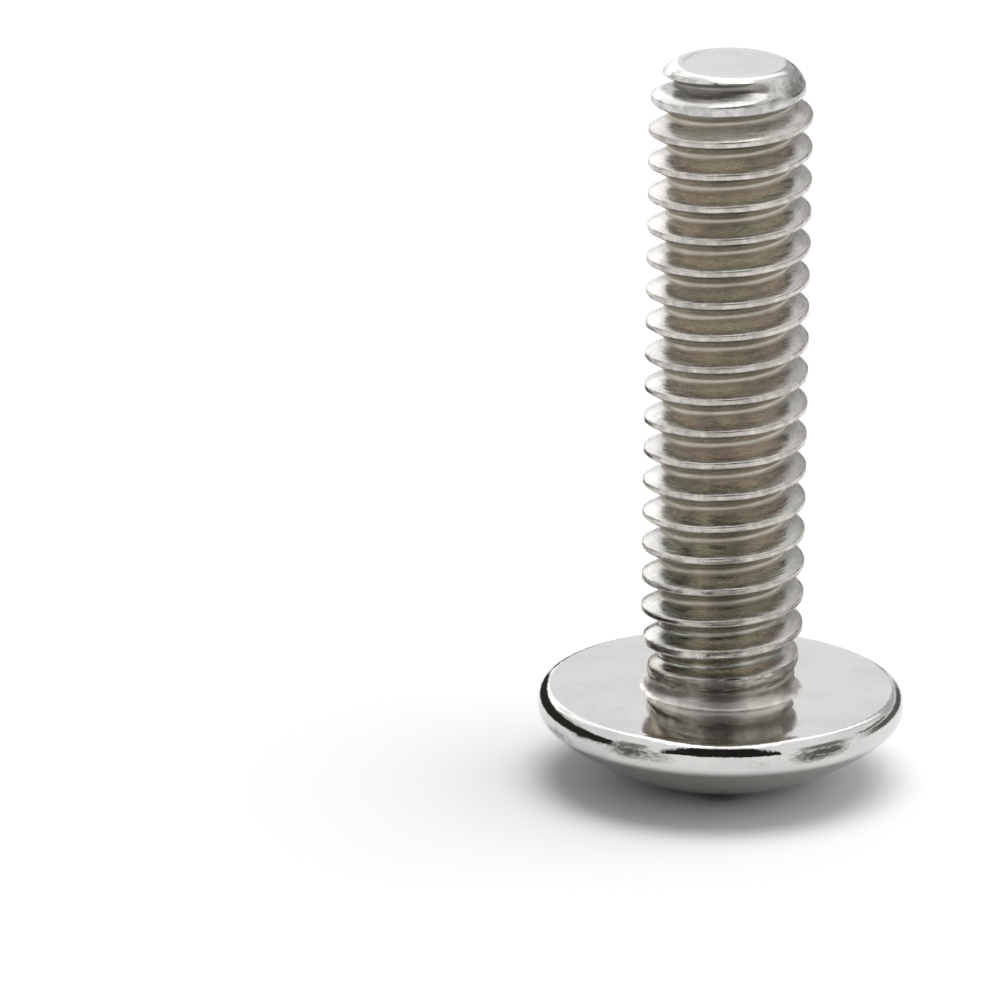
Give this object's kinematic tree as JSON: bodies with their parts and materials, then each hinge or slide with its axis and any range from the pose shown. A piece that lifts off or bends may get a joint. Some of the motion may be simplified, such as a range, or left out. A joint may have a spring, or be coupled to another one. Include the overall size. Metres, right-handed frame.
{
  "type": "truss head screw",
  "caption": "Truss head machine screw with a low domed head, a cross recess and a fully threaded shank, for clamping sheet and trim under a wide bearing face.",
  "frame": {"origin": "on the screw's axis, in the plane that the rim of the recess rests on when the screw stands on its head", "axes": "+Z along the axis from the head to the tip, normal to the bearing face; +X and +Y along two wings of the cross recess"},
  "size_m": [0.014, 0.014, 0.0286],
  "materials": {
    "stainless_steel": "bright cold-formed stainless steel, polished head, rolled thread"
  },
  "bodies": {
    "root": {"truss_head_screw": "stainless_steel"}
  },
  "joints": []
}
